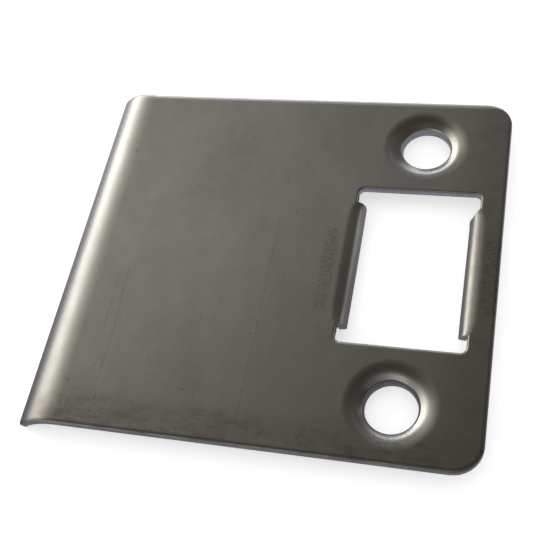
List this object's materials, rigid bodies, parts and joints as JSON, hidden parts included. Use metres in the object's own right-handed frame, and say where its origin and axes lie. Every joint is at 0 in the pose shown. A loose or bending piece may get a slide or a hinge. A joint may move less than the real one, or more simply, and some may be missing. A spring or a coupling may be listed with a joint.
{
  "type": "door strike plate",
  "caption": "Full-lip door strike plate pressed from one stainless sheet, with a curled lip, a flanged latch opening and dimpled screw holes.",
  "frame": {"origin": "on the plane of the flat back face, at the centre of the latch opening, midway between the two screw holes", "axes": "+Z out of the visible face, -X towards the curled lip, +X towards the short edge, +Y along the plate's height and the line of the screws"},
  "size_m": [0.0634, 0.0572, 0.004],
  "materials": {
    "stainless_steel": "satin rolled stainless sheet, unpolished, with light handling marks"
  },
  "bodies": {
    "root": {"strike_plate": "stainless_steel"}
  },
  "joints": []
}
